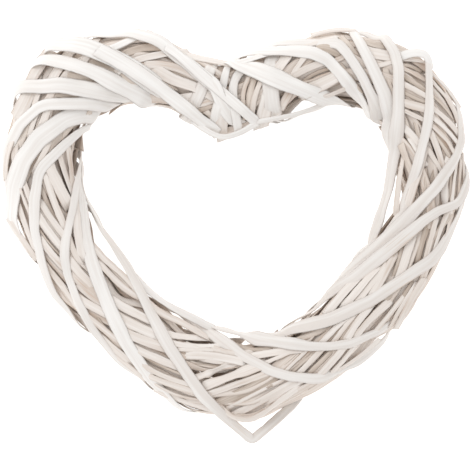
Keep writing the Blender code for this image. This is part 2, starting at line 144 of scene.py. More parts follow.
# Strips that lie on the lining between the wraps: middle line as x, y, x, y in the photograph's pixels, width
# there, and how bare the strip is, from 0 for white to 1 for brown
FILLING = (
    # upper left
    ((77, 72, 86, 58, 95, 42), 9, 0.40), ((30, 84, 38, 68, 48, 54), 13, 0.25),
    ((50, 84, 58, 70, 70, 52), 13, 0.25), ((18, 115, 27, 98, 34, 80), 15, 0.30),
    ((34, 108, 37, 98, 42, 84), 7, 0.20), ((46, 106, 51, 96, 56, 86), 8, 0.40),
    ((30, 136, 34, 122, 40, 106), 6, 0.35), ((42, 126, 46, 116, 50, 104), 8, 0.45),
    ((6, 176, 7, 160, 12, 142), 7, 0.55), ((34, 172, 42, 158, 50, 142), 6, 0.45),
    # left
    ((18, 182, 24, 198, 30, 214), 4, 0.35), ((24, 180, 28, 192, 33, 206), 5, 0.30),
    ((19, 205, 26, 226, 35, 250), 7, 0.45), ((11, 222, 21, 237, 34, 256), 8, 0.50),
    ((46, 174, 54, 200, 66, 228), 7, 0.45), ((42, 203, 52, 219, 66, 237), 7, 0.30),
    ((38, 214, 50, 232, 66, 252), 8, 0.25), ((40, 238, 52, 254, 68, 271), 9, 0.35),
    ((42, 260, 54, 275, 66, 290), 7, 0.50), ((48, 160, 57, 182, 68, 204), 12, 0.20),
    ((58, 148, 65, 172, 73, 194), 6, 0.40), ((68, 144, 71, 166, 73, 188), 7, 0.35),
    ((76, 200, 78, 230, 83, 258), 9, 0.35), ((69, 234, 74, 250, 81, 264), 6, 0.50),
    ((70, 260, 82, 275, 96, 288), 9, 0.40), ((72, 273, 86, 287, 100, 297), 10, 0.35),
    ((95, 248, 108, 262, 124, 276, 142, 296, 160, 312, 182, 323, 208, 338), 8, 0.50),
    # lower left
    ((60, 282, 75, 304, 92, 327), 6, 0.60), ((76, 282, 90, 294, 106, 305), 10, 0.30),
    ((76, 296, 92, 306, 110, 315), 8, 0.35), ((84, 314, 100, 326, 118, 341), 9, 0.55),
    ((92, 328, 110, 345, 130, 361), 8, 0.60), ((110, 351, 124, 362, 142, 377), 6, 0.65),
    ((110, 299, 128, 309, 152, 321), 9, 0.35), ((110, 312, 130, 323, 157, 335), 11, 0.25),
    ((118, 329, 138, 338, 168, 348), 10, 0.30), ((126, 343, 148, 354, 178, 366), 9, 0.45),
    ((138, 361, 160, 374, 192, 385), 6, 0.40), ((150, 376, 170, 384, 202, 393), 7, 0.65),
    ((158, 391, 180, 400, 210, 409), 8, 0.50), ((156, 384, 172, 393, 198, 399), 4, 0.60),
    # bottom
    ((152, 329, 180, 336, 212, 338), 8, 0.15), ((156, 338, 185, 345, 218, 345), 6, 0.25),
    ((178, 348, 205, 350, 232, 353), 6, 0.45), ((186, 355, 212, 356, 244, 362), 9, 0.20),
    ((194, 378, 216, 370, 244, 358), 9, 0.35), ((206, 385, 230, 376, 262, 364), 12, 0.25),
    ((210, 393, 236, 384, 272, 371), 7, 0.35), ((226, 409, 250, 396, 284, 379), 5, 0.30),
    ((234, 415, 262, 400, 298, 379), 9, 0.35),
    ((222, 407, 236, 418, 250, 419, 270, 408, 300, 386), 6, 0.40),
    ((262, 413, 282, 401, 302, 390), 8, 0.60), ((274, 403, 292, 394, 314, 382), 8, 0.60),
    ((248, 357, 275, 352, 304, 349), 8, 0.25), ((260, 365, 280, 356, 307, 345), 5, 0.35),
    # lower right
    ((284, 372, 296, 360, 310, 346), 4, 0.30), ((298, 374, 311, 360, 324, 346), 6, 0.50),
    ((320, 374, 333, 360, 346, 344), 8, 0.35), ((332, 372, 345, 358, 358, 342), 7, 0.35),
    ((338, 370, 354, 360, 376, 342), 5, 0.45), ((268, 403, 290, 388, 312, 376), 4, 0.30),
    ((320, 344, 335, 328, 352, 312), 6, 0.30), ((332, 344, 345, 326, 358, 310), 5, 0.50),
    ((346, 340, 357, 322, 370, 306), 8, 0.30), ((356, 336, 371, 318, 388, 302), 8, 0.30),
    ((378, 328, 391, 312, 404, 296), 6, 0.35), ((392, 324, 403, 304, 414, 286), 5, 0.50),
    ((398, 325, 409, 304, 422, 282), 8, 0.40), ((328, 312, 344, 292, 364, 272), 10, 0.20),
    ((343, 308, 359, 288, 378, 266), 8, 0.30), ((354, 304, 371, 284, 388, 262), 7, 0.35),
    ((370, 298, 383, 276, 394, 254), 8, 0.40), ((397, 284, 404, 262, 412, 236), 10, 0.15),
    ((425, 260, 430, 240, 436, 218), 6, 0.50), ((434, 250, 440, 230, 448, 210), 5, 0.55),
    # right
    ((451, 214, 453, 188, 457, 160), 5, 0.50), ((457, 208, 459, 184, 461, 160), 4, 0.40),
    ((463, 204, 464, 182, 463, 158), 4, 0.50), ((445, 208, 444, 188, 448, 160), 9, 0.10),
    ((405, 216, 412, 190, 420, 165, 424, 148), 9, 0.45), ((396, 212, 398, 188, 402, 162), 6, 0.60),
    # upper right
    ((398, 67, 412, 73, 430, 83), 6, 0.40), ((398, 83, 414, 90, 430, 99), 7, 0.50),
    ((398, 102, 414, 106, 430, 111), 9, 0.50), ((400, 109, 414, 116, 430, 123), 5, 0.35),
    ((402, 126, 412, 136, 422, 150), 8, 0.45), ((409, 139, 416, 150, 424, 162), 5, 0.30),
    ((396, 60, 412, 60, 428, 63), 4, 0.40), ((366, 52, 380, 55, 398, 57), 14, 0.40),
    ((374, 67, 386, 64, 398, 61), 5, 0.30), ((428, 77, 440, 90, 454, 107), 5, 0.50),
    ((431, 73, 446, 87, 458, 104), 4, 0.35), ((428, 106, 442, 116, 458, 133), 7, 0.30),
    ((428, 115, 444, 128, 458, 144), 6, 0.35), ((430, 125, 444, 138, 454, 154), 5, 0.50),
    ((426, 148, 434, 160, 442, 174), 6, 0.40),
    # notch, right of it
    ((262, 124, 266, 105, 273, 84), 16, 0.15), ((252, 120, 254, 100, 262, 80), 6, 0.60),
    ((282, 106, 288, 95, 296, 84), 9, 0.60), ((271, 78, 282, 63, 291, 50), 13, 0.15),
    ((291, 78, 299, 65, 308, 54), 6, 0.30), ((286, 81, 305, 70, 326, 62), 7, 0.50),
    ((303, 93, 325, 83, 342, 74), 13, 0.25), ((322, 98, 336, 93, 352, 86), 6, 0.50),
    ((328, 64, 340, 59, 352, 53), 6, 0.65), ((260, 56, 285, 49, 310, 44, 334, 38), 8, 0.30),
    ((316, 34, 334, 30, 352, 30), 7, 0.15), ((350, 56, 356, 60, 364, 66), 8, 0.50),
    # notch, left of it
    ((116, 74, 134, 62, 155, 56, 184, 52), 8, 0.05), ((103, 55, 125, 43, 147, 33), 8, 0.10),
    ((146, 66, 165, 66, 186, 72, 204, 82), 8, 0.35), ((153, 68, 174, 80, 196, 88, 218, 100), 12, 0.35),
    ((176, 99, 195, 97, 214, 91), 10, 0.20), ((188, 106, 204, 103, 222, 96), 8, 0.30),
    ((190, 56, 210, 68, 230, 82), 6, 0.70), ((188, 56, 212, 61, 238, 66), 9, 0.10),
    ((223, 136, 222, 118, 228, 98), 12, 0.15),
    # further ones, right, notch, bottom and inner rim
    ((446, 96, 455, 112, 461, 132), 8, 0.40), ((250, 76, 244, 90, 245, 115), 5, 0.90),
    ((430, 132, 437, 150, 443, 170), 6, 0.50), ((190, 345, 206, 352, 224, 358), 5, 0.45),
    ((202, 357, 222, 361, 242, 359), 7, 0.35), ((184, 362, 205, 370, 230, 369), 7, 0.85),
    ((212, 347, 230, 353, 250, 351), 7, 0.40), ((99, 262, 111, 275, 125, 288, 142, 298), 8, 0.30),
    ((103, 256, 116, 272, 132, 288), 6, 0.45),
)
# Strips on top of the others, given in the same way. The fourth and the seventh stand free for most of
# their length.
TOP = (
    ((104, 53, 125, 43, 145, 34), 7, 0.10), ((244, 68, 235, 80, 233, 94, 237, 122, 239, 134), 9, 0.25),
    ((192, 121, 207, 131, 222, 137, 240, 133, 257, 123), 8, 0.15),
    ((252, 123, 275, 119, 300, 113, 324, 104), 6, 0.40), ((400, 57, 414, 53, 425, 55, 430, 70), 9, 0.15),
    ((230, 65, 248, 60, 268, 54, 286, 50), 7, 0.20), ((134, 277, 158, 298, 181, 312, 214, 329), 9, 0.30),
)
# Ends of wraps, which go over the wraps themselves. The first rests near its ends alone.
ENDS = (
    ((98, 50, 125, 65, 160, 89, 190, 112, 218, 134), 15, 0.05),
    ((166, 46, 184, 60, 201, 75, 228, 98, 257, 123), 11, 0.05),
)
# Bare strips deeper in the ring, which show between the others: bare willow, and painted shade in the gaps
SHADED_BARE_STRIPS = (
    ((126, 54, 145, 48, 166, 49), 8, 0.6), ((90, 61, 110, 70, 138, 85), 8, 0.5),
    ((66, 75, 85, 78, 106, 85), 7, 0.6), ((54, 96, 66, 96, 80, 96), 5, 0.6),
    ((20, 144, 27, 128, 33, 114), 8, 0.2), ((46, 151, 60, 137, 72, 125, 88, 113), 9, 0.3),
    ((25, 180, 33, 165, 41, 151), 7, 0.5), ((43, 190, 50, 208, 60, 226), 5, 0.7),
    ((40, 229, 50, 243, 62, 256), 2.5, 1.0), ((50, 270, 60, 284, 72, 302), 6, 0.5),
    ((83, 303, 95, 311, 107, 317), 2.5, 1.0), ((98, 320, 108, 333, 120, 347), 6, 0.4),
    ((144, 342, 158, 348, 172, 354), 3, 0.9), ((144, 356, 165, 367, 187, 376), 3, 1.0),
    ((118, 308, 135, 315, 153, 322), 1.5, 1.0), ((180, 351, 190, 355, 199, 359), 3, 1.0),
    ((190, 362, 210, 366, 230, 366), 5, 0.6), ((220, 403, 245, 392, 275, 377), 14, 0.7),
    ((222, 388, 240, 380, 259, 370), 1.5, 1.0), ((238, 345, 252, 349, 268, 347), 6, 0.6),
    ((280, 369, 291, 361, 302, 351), 4, 1.0), ((290, 373, 302, 362, 316, 350), 5, 0.8),
    ((309, 373, 320, 362, 332, 350), 5, 0.8), ((326, 342, 338, 330, 352, 315), 4, 1.0),
    ((339, 340, 348, 328, 358, 314), 5, 0.4), ((298, 339, 312, 334, 324, 328), 6, 0.5),
    ((377, 311, 383, 303, 390, 295), 5, 0.8), ((389, 317, 399, 302, 410, 285), 4, 0.8),
    ((394, 275, 398, 262, 402, 248), 6, 0.8), ((417, 261, 421, 245, 426, 229), 6, 1.0),
    ((434, 238, 444, 222, 452, 210), 7, 0.4), ((424, 194, 425, 184, 425, 173), 3, 0.9),
    ((432, 179, 434, 171, 436, 163), 5, 0.9), ((450, 203, 450, 186, 451, 173), 3, 0.7),
    ((401, 75, 414, 83, 427, 92), 6, 1.0), ((402, 92, 414, 98, 426, 103), 4, 0.8),
    ((400, 66, 408, 66, 417, 70), 4, 0.9), ((385, 68, 388, 84, 392, 101), 8, 0.4),
    ((362, 40, 370, 44, 380, 46), 7, 0.4), ((344, 40, 350, 48, 356, 56), 7, 0.4),
    ((432, 96, 443, 106, 453, 119), 4, 1.0), ((430, 131, 440, 143, 449, 158), 4, 0.8),
    ((402, 116, 406, 128, 413, 142), 8, 0.3), ((402, 148, 406, 160, 412, 174), 8, 0.3),
    ((416, 126, 418, 134, 420, 144), 5, 0.5), ((250, 110, 250, 95, 255, 78), 7, 0.5),
    ((256, 65, 268, 65, 281, 61), 4, 0.7), ((320, 49, 330, 50, 340, 55), 12, 0.9),
    ((340, 65, 350, 78, 362, 96), 5, 0.9), ((292, 77, 304, 66, 315, 60), 3, 0.8),
    ((304, 82, 315, 74, 329, 70), 4, 1.0), ((305, 46, 313, 44, 321, 42), 3, 0.7),
    ((213, 74, 225, 77, 240, 72), 9, 0.5), ((168, 70, 188, 77, 206, 86), 5, 0.7),
    ((198, 111, 208, 108, 219, 102), 5, 0.9), ((205, 111, 211, 116, 217, 123), 7, 0.2),
    ((150, 68, 160, 78, 174, 88), 3, 0.5), ((150, 303, 158, 308, 166, 312), 3, 0.9),
    ((246, 383, 258, 378, 270, 372), 1.5, 1.0), ((262, 396, 272, 391, 282, 385), 1.5, 1.0),
    ((234, 398, 246, 393, 256, 388), 1.2, 1.0),
)


@dataclass(frozen=True, kw_only=True)
class Look:
    """How one sort of strip is drawn: lengths in metres, shares of the strip's own width or thickness."""

    slot: str
    step: float             # from one ring of points to the next
    across: int             # points from edge to edge on the outer face
    crown: float            # how much the outer face is domed
    relief: float           # height of the fibres
    ragged: float           # how uneven the edges are
    waver: float            # how much the width changes along the strip
    widen: float = 1.0      # how much broader the skin is than the solid
    roll: float = 0.0       # how far one edge is turned up over the neighbour, in degrees
    lean: float = 0.0       # how much the outer face is turned towards the front
    lift: float = 0.0       # how high above the filling's surface the strip's middle is
    tuck: float = 0.0       # how deep the ends go below the strips around them
    drop: float = 0.0       # how far the last end comes down
    bridges: bool = False   # whether it lies on the surface's high points alone


OUTER = Look(
    slot="washed_willow", step=1.3 * MM, across=13, crown=0.30 * MM, relief=0.08 * MM, ragged=0.12 * MM,
    waver=0.05, lean=0.2,
)
TURNED = replace(OUTER, lean=1.0)
TOPMOST = replace(OUTER, lean=0.0, lift=1.3 * MM, bridges=True)
ENDMOST = replace(TOPMOST, lift=4.2 * MM, drop=3.2 * MM)
LINING = Look(
    slot="thinly_washed_willow", step=1.7 * MM, across=13, crown=0.15 * MM, relief=0.14 * MM,
    ragged=0.20 * MM, waver=0.12, widen=1.16, roll=6.0,
)
FILL = Look(
    slot="thinly_washed_willow", step=1.2 * MM, across=11, crown=0.15 * MM, relief=0.12 * MM,
    ragged=0.20 * MM, waver=0.10, lift=0.55 * MM, tuck=1.8 * MM, bridges=True,
)
INSIDE = Look(
    slot="bare_willow", step=3.0 * MM, across=9, crown=0.20 * MM, relief=0.20 * MM, ragged=0.30 * MM,
    waver=0.10, widen=1.1,
)
# Bare willow, and painted shade: dull strips laid where the gaps between the others are in shade
SHADED_BARE = Look(
    slot="bare_willow", step=1.2 * MM, across=9, crown=0.10 * MM, relief=0.15 * MM, ragged=0.20 * MM,
    waver=0.10, lift=-0.1 * MM, tuck=1.2 * MM,
)
FILL_THICKNESS = 0.7 * MM
TUCKED = 3 * MM             # how far a tucked end goes on, and over what length it dips
DROPS_FROM = 0.6            # of a strip's length: where its last end starts to come down
FEWEST_RINGS = 8
UNDER_POINTS = 5
FIRST_SEED = 1000           # of the strips that have no node


def wraps(*numbers):
    return [f"wrap_strip_{number:02d}" for number in numbers]


UNDER_WRAPS = ("lining", "cross")
TURNED_WRAPS = wraps(5, 11)
# Whitest at the top and left, dullest on the right and bottom: partly the wash, partly painted shade
DULLEST = wraps(*range(5, 12))
WHITEST = wraps(1, 2, 12, *range(15, 21))
# A skin's width as a share of its solid's
WIDTHS = {name: 0.88 for name in DULLEST} | {"wrap_strip_10": 0.88 * 0.85, "folded_tip_strip": 1.15}
# How dull a strip is, from and to
WHITEST_TONES = (0, 0.35)
OUTER_TONES = (0.2, 1)
LINING_TONES = (0.5, 1)
DULLEST_TONES = (0.9, 1.1)

# How uneven a strip is: spacings along it, and shares
ROLL_SPACING = 60 * MM
ROLL_CHANGE = 0.8
WAVER_SPACING = 45 * MM
RAG_SPACING = 6 * MM
FINE_RAG_SPACING = 2 * MM
FINE_RAG = 0.6
FIBRE_LENGTH = 28 * MM
FIBRE_PITCH = 0.55 * MM
UNDER_RELIEF = 0.4          # of the outer face's
CROWN_FROM = 0.6            # the dome is sunk by this share of its height
EDGE_THINNING = 0.75
END_REACH = 2.5 * MM
END_THINNING = 0.35
END_SLANT = 0.5             # of the strip's width, either way
SPLINTER = 0.5 * MM


# Reading the strips back from the frame

def welded(mesh):
    """The solid's corners without doubles, and for each one those that share an edge with it."""
    points = np.array([v.co[:] for v in mesh.vertices])
    corners, place = np.unique(np.round(points, 6), axis=0, return_inverse=True)
    place = place.reshape(-1)
    near = [set() for _ in corners]
    for edge in mesh.edges:
        a, b = (int(place[v]) for v in edge.vertices)
        if a != b:
            near[a].add(b)
            near[b].add(a)
    return corners, near


def layers(near, first):
    """The corners in layers, each one edge further from the first ones."""
    seen = set(first)
    found = [sorted(first)]
    while True:
        following = {n for corner in found[-1] for n in near[corner]} - seen
        if not following:
            return found
        seen |= following
        found.append(sorted(following))


def sections_of(near):
    """The strip's sections from end to end, as four corners each."""
    far = layers(near, {0})
    for end in far[-1] + far[-2]:
        nearby = sorted(near[end].union(*(near[n] for n in near[end])) - {end})
        for others in itertools.combinations(nearby, 3):
            found = layers(near, {end, *others})
            if all(len(layer) == 4 for layer in found):
                return found
    raise ValueError("a node is no strip")


def paired(points):
    """Four corners of a section in two pairs, each across the strip's thickness."""
    best = None
    for other in (1, 2, 3):
        rest = [k for k in (1, 2, 3) if k != other]
        length = np.linalg.norm(points[0] - points[other]) + np.linalg.norm(points[rest[0]] - points[rest[1]])
        if best is None or length < best[0]:
            best = (length, (0, other, *rest))
    return points[list(best[1])]


def matched(before, points):
    """The corners of a section in the order of those of the one before it."""
    moved = points - points.mean(axis=0) + before.mean(axis=0)
    orders = list(itertools.permutations(range(4)))
    costs = [np.sum((moved[list(order)] - before) ** 2) for order in orders]
    return points[list(orders[int(np.argmin(costs))])]


def strip_sections(mesh, every):
    """Corners by section, by side of the strip, and under or over, with over away from the ring's inside."""
    corners, near = welded(mesh)
    found = sections_of(near)
    rows = [paired(corners[found[0]])]
    for layer in found[1:]:
        rows.append(matched(rows[-1], corners[layer]))
    rows = np.array(rows).reshape(len(rows), 2, 2, 3)
    middle = rows.mean(axis=(1, 2))
    hubs = np.array([every[np.linalg.norm(every - m, axis=1) < HUB_REACH].mean(axis=0) for m in middle])
    upward = (rows[:, :, 1] - rows[:, :, 0]).mean(axis=1)
    if np.sum(upward * (middle - hubs)) < 0:
        rows = rows[:, :, ::-1]
        upward = -upward
    travel = np.gradient(middle, axis=0)
    clockwise = np.sum(travel[:, 0] * middle[:, 1] - travel[:, 1] * middle[:, 0])
    if clockwise < 0:
        rows = rows[::-1]
        middle = middle[::-1]
        upward = upward[::-1]
        travel = -travel[::-1]
    across = (rows[:, 0] - rows[:, 1]).mean(axis=1)
    if np.sum(np.cross(travel, across) * upward) < 0:
        rows = rows[:, ::-1]
    return rows


# Curves and unevenness

def spline(at, values, where):
    """A natural cubic spline through the values, read at other places."""
    gaps = np.diff(at)
    slopes = np.diff(values, axis=0) / gaps[:, None]
    matrix = np.eye(len(at))
    right = np.zeros_like(values)
    for i in range(1, len(at) - 1):
        matrix[i, i - 1:i + 2] = gaps[i - 1], 2 * (gaps[i - 1] + gaps[i]), gaps[i]
        right[i] = 6 * (slopes[i] - slopes[i - 1])
    bends = np.linalg.solve(matrix, right)
    cell = np.clip(np.searchsorted(at, where, side="right") - 1, 0, len(at) - 2)
    gap = gaps[cell][:, None]
    after = (where - at[cell])[:, None]
    left = gap - after
    return (
        bends[cell] * left ** 3 / (6 * gap) + bends[cell + 1] * after ** 3 / (6 * gap)
        + (values[cell] / gap - bends[cell] * gap / 6) * left
        + (values[cell + 1] / gap - bends[cell + 1] * gap / 6) * after
    )


def drift(rng, where, spacing):
    """Smooth random numbers from about -1 to 1, that change over the spacing."""
    knots = rng.uniform(-1, 1, int(where[-1] / spacing) + 4)
    place = where / spacing + 1
    low = place.astype(int)
    share = place - low
    share = share * share * (3 - 2 * share)
    return knots[low] * (1 - share) + knots[low + 1] * share


def fibres(rng, along, offsets, long, fine):
    """Relief of fibres: long in one direction, fine in the other, from about -1 to 1."""
    columns = np.stack([drift(rng, along, long) for _ in range(int(np.ptp(offsets) / fine) + 3)], 1)
    place = (offsets - offsets.min()) / fine
    low = place.astype(int)
    share = place - low
    return columns[:, low] * (1 - share) + columns[:, low + 1] * share


# Strips

def unit(vectors):
    return vectors / np.linalg.norm(vectors, axis=-1, keepdims=True)


def from_photo(pixels):
    """Places on the part, seen from above, of points in the photograph."""
    pixels = np.array(pixels, float)
    pixel = PHOTO_WIDTH / PHOTO_PIXELS
    return np.stack([
        PHOTO_MIDDLE[0] + (pixels[:, 0] - PHOTO_PIXELS / 2) * pixel,
        PHOTO_MIDDLE[1] - (pixels[:, 1] - PHOTO_PIXELS / 2) * pixel,
    ], 1)


def eased(points, places):
    """Points moved sideways to where the ring's strips are in the photograph."""
    moved = points.copy()
    for middle, reach, shift in places:
        away = np.linalg.norm(points[:, :2] - np.array(middle) * MM, axis=1)
        moved[:, :2] += np.exp(-(away / (reach * MM)) ** 2)[:, None] * np.array(shift) * MM
    return moved


def drawn_to(line, facing, seen):
    """A wrap's middle line drawn sideways to where the photograph shows it, on its front side."""
    kinks = from_photo(seen)
    route = np.concatenate([
        np.linspace(a, b, LEG_POINTS, endpoint=False) for a, b in zip(kinks[:-1], kinks[1:])
    ] + [kinks[-1:]])
    gaps = np.linalg.norm(line[:, None, :2] - route[None], axis=2)
    nearest = gaps.argmin(axis=1)
    shift = route[nearest] - line[:, :2]
    size = gaps.min(axis=1)
    counts = (facing > SEEN_FACING) & (size < CATCH) & (nearest > 0) & (nearest < len(route) - 1)
    if not counts.any():
        return line
    shift *= np.minimum(1, PULL_LIMIT / np.maximum(size, 1e-9))[:, None]
    known = np.nonzero(counts)[0]
    places = np.arange(len(line))
    closest = known[np.abs(places[:, None] - known[None]).argmin(axis=1)]
    step = np.linalg.norm(np.diff(line, axis=0), axis=1).mean()
    fade = np.exp(-(np.abs(places - closest) * step / PULL_FADE) ** 2)
    shift = shift[closest] * fade[:, None]
    kernel = np.hanning(2 * int(PULL_SMOOTH / step) + 3)
    padded = np.pad(shift, ((len(kernel) // 2,) * 2, (0, 0)), "edge")
    smooth = np.stack([np.convolve(padded[:, k], kernel / kernel.sum(), "valid") for k in (0, 1)], 1)
    moved = line.copy()
    moved[:, :2] += smooth
    return moved


def lengths_along(points):
    """How far along its line each point is."""
    return np.concatenate([[0.0], np.cumsum(np.linalg.norm(np.diff(points, axis=0), axis=1))])


def rings_along(at, look):
    return np.linspace(0, at[-1], max(FEWEST_RINGS, int(round(at[-1] / look.step))))


def tones_of(name, look):
    if name in WHITEST:
        return WHITEST_TONES
    if look is LINING or name == "notch_binding_1":
        return LINING_TONES
    if name in DULLEST:
        return DULLEST_TONES
    return OUTER_TONES


def strip_piece(name, rows, look, material, seed):
    """The skin of a node: a strip through its sections."""
    rng = np.random.default_rng(seed)
    middle = rows.mean(axis=(1, 2))
    across = (rows[:, 0] - rows[:, 1]).mean(axis=1)
    upward = (rows[:, :, 1] - rows[:, :, 0]).mean(axis=1)
    at = lengths_along(middle)
    along = rings_along(at, look)
    line = spline(at, middle, along)
    side = spline(at, across, along)
    width = np.linalg.norm(side, axis=1) * look.widen * WIDTHS.get(name, 1.0)
    facing = unit(np.cross(np.gradient(line, axis=0), side))[:, 2]
    if look is not TURNED:
        line = eased(line, EASED + EASED_UNDER if look in (LINING, INSIDE) else EASED)
    if name in SEEN_WRAPS:
        line = drawn_to(line, facing, SEEN_WRAPS[name])
    thick = np.interp(along, at, np.linalg.norm(upward, axis=1))
    tone = rng.uniform(*tones_of(name, look))
    return draw_strip(name + "_skin", rng, along, line, side, width, thick, tone, look, material)


def bridged(along, height):
    """The height of a stiff strip over this ground: it lies on the high points and bridges the dips."""
    held = [0]
    for i in range(1, len(along)):
        while len(held) > 1:
            a, b = held[-2:]
            rise_before = (height[b] - height[a]) * (along[i] - along[b])
            rise_after = (height[i] - height[b]) * (along[b] - along[a])
            if rise_before > rise_after:
                break
            held.pop()
        held.append(i)
    return np.interp(along, along[held], height[held])


def filling_piece(name, seed, strip, surface, look, material):
    """A strip that lies on the lining."""
    rng = np.random.default_rng(seed)
    pixels, wide, tone = strip
    knots = from_photo(np.reshape(pixels, (-1, 2)))
    if look.tuck:
        knots[0] += unit(knots[0] - knots[1]) * TUCKED
        knots[-1] += unit(knots[-1] - knots[-2]) * TUCKED
    at = lengths_along(knots)
    along = rings_along(at, look)
    plan = spline(at, knots, along)
    height, out = surface.read(plan)
    if look.bridges:
        height = bridged(along, height)
    to_end = np.minimum(along, at[-1] - along)
    height += look.lift - look.tuck * np.exp(-(to_end / TUCKED) ** 2)
    height -= look.drop * np.clip((along / at[-1] - DROPS_FROM) / (1 - DROPS_FROM), 0, 1) ** 2
    line = np.concatenate([plan, height[:, None]], 1)
    side = np.cross(out, unit(np.gradient(line, axis=0)))
    width = np.full(len(along), wide * PHOTO_WIDTH / PHOTO_PIXELS)
    thick = np.full(len(along), FILL_THICKNESS)
    return draw_strip(name, rng, along, line, side, width, thick, tone, look, material)


def draw_strip(name, rng, along, line, side, width, thick, tone, look, material):
    """A willow strip along a line, with its grain's coordinates on every point."""
    travel = unit(np.gradient(line, axis=0))
    side = unit(side - travel * np.sum(side * travel, -1, keepdims=True))
    out = np.cross(travel, side)
    if look.lean:
        out = out + (0, 0, look.lean)
        out = unit(out - travel * np.sum(out * travel, -1, keepdims=True))
        side = np.cross(out, travel)
    turn = np.radians(look.roll) * (1 + ROLL_CHANGE * drift(rng, along, ROLL_SPACING))[:, None]
    side, out = side * np.cos(turn) + out * np.sin(turn), out * np.cos(turn) - side * np.sin(turn)

    over = np.linspace(-1, 1, look.across)
    under = np.linspace(1, -1, UNDER_POINTS + 2)[1:-1]
    spot = np.concatenate([over, under])
    is_over = np.arange(len(spot)) < look.across
    half = width / 2 * (1 + look.waver * drift(rng, along, WAVER_SPACING))
    edges = look.ragged * np.stack([
        drift(rng, along, RAG_SPACING) + FINE_RAG * drift(rng, along, FINE_RAG_SPACING) for _ in range(2)
    ], 1)
    reach = np.abs(spot) ** 3
    sideways = half[:, None] * spot
    sideways += np.where(spot > 0, edges[:, :1], -edges[:, 1:]) * reach

    crown = 1 - np.abs(spot) ** 2
    rounding = 1 - EDGE_THINNING * np.abs(spot) ** 6
    height = np.where(is_over, 1.0, -1.0) * (thick[:, None] / 2) * rounding
    height += look.crown * (crown - CROWN_FROM)
    grain = fibres(rng, along, spot * width.mean() / 2, FIBRE_LENGTH, FIBRE_PITCH)
    height += look.relief * grain * np.where(is_over, 1.0, UNDER_RELIEF)

    slant = rng.uniform(-END_SLANT, END_SLANT, 2) * width[[0, -1]]
    splinter = rng.uniform(-1, 1, (2, len(spot))) * SPLINTER
    from_start = np.exp(-along / END_REACH)[:, None]
    from_end = np.exp(-(along[-1] - along) / END_REACH)[:, None]
    ahead = from_start * (slant[0] * spot + splinter[0]) / 2 + from_end * (slant[1] * spot + splinter[1]) / 2
    height *= 1 - END_THINNING * np.maximum(from_start, from_end)

    points = (
        line[:, None] + side[:, None] * sideways[..., None] + out[:, None] * height[..., None]
        + travel[:, None] * ahead[..., None]
    )
    points[..., 2] = np.maximum(points[..., 2], 0.0)
    grain_places = np.stack([
        np.broadcast_to(along[:, None], height.shape), sideways, np.full(height.shape, rng.uniform(0, 10))
    ], -1)
    worn = np.broadcast_to(np.where(is_over, np.abs(spot) ** 8, 1.0), height.shape)
    return make_piece(name, points, grain_places, worn, tone, material)


class Surface:
    """How high the ring's filling reaches, on a grid seen from above."""

    CELL = 1 * MM
    LOW = np.array([-160 * MM, -145 * MM])
    COUNT = (320, 290)
    EMPTY = -1.0
    CARRIED_ON = 10         # cells by which the ring's edges go on outwards
    FALL = 0.5 * MM         # how far they come down from one cell to the next
    WIDENED = 2             # cells
    BLURRED = 6             # times
    STEEPEST = 1.1          # slope that a strip on it can follow
    READ_OVER = 5           # points of a strip over which its height is averaged

    def __init__(self, meshes):
        top = np.full(self.COUNT, self.EMPTY)
        for mesh in meshes:
            self.add(top, mesh)
        for _ in range(self.CARRIED_ON):
            around = self.widest(top)
            top = np.where(top < 0, around - np.where(around > 0, self.FALL, 0), top)
        for _ in range(self.WIDENED):
            top = self.widest(top)
        top = np.maximum(top, 0.0)
        for _ in range(self.BLURRED):
            top = self.blurred(top)
        self.height = top
        slopes = np.stack(np.gradient(top, self.CELL), -1)
        steep = np.linalg.norm(slopes, axis=-1, keepdims=True)
        slopes *= np.minimum(1, self.STEEPEST / np.maximum(steep, 1e-9))
        self.out = unit(np.concatenate([-slopes, np.ones((*self.COUNT, 1))], -1))

    def add(self, top, mesh):
        """Raises the grid to the mesh, by points spread over its triangles."""
        mesh.calc_loop_triangles()
        corners = np.array([v.co[:] for v in mesh.vertices])
        for triangle in mesh.loop_triangles:
            a, b, c = corners[list(triangle.vertices)]
            count = int(max(np.linalg.norm(b - a), np.linalg.norm(c - a)) / (self.CELL / 2)) + 2
            u, v = (grid.reshape(-1, 1) for grid in np.meshgrid(*(np.linspace(0, 1, count),) * 2))
            inside = (u + v)[:, 0] <= 1
            points = a + (b - a) * u[inside] + (c - a) * v[inside]
            spots = ((points[:, :2] - self.LOW) / self.CELL).astype(int)
            np.maximum.at(top, (spots[:, 0], spots[:, 1]), points[:, 2])

    @staticmethod
    def shifted(grid):
        padded = np.pad(grid, 1, "edge")
        x, y = grid.shape
        return [padded[i:i + x, j:j + y] for i in range(3) for j in range(3)]

    def widest(self, grid):
        return np.max(self.shifted(grid), axis=0)

    def blurred(self, grid):
        return np.mean(self.shifted(grid), axis=0)

    def read(self, plan):
        """Height and outward direction at points seen from above."""
        spots = np.clip(np.round((plan - self.LOW) / self.CELL).astype(int), 0, np.array(self.COUNT) - 1)
        height = self.height[spots[:, 0], spots[:, 1]]
        out = self.out[spots[:, 0], spots[:, 1]]
        kernel = np.ones(self.READ_OVER) / self.READ_OVER
        margin = (self.READ_OVER // 2,) * 2
        padded = np.pad(np.concatenate([height[:, None], out], 1), (margin, (0, 0)), "edge")
        smooth = np.stack([np.convolve(padded[:, k], kernel, "valid") for k in range(4)], 1)
        return smooth[:, 0], unit(smooth[:, 1:])


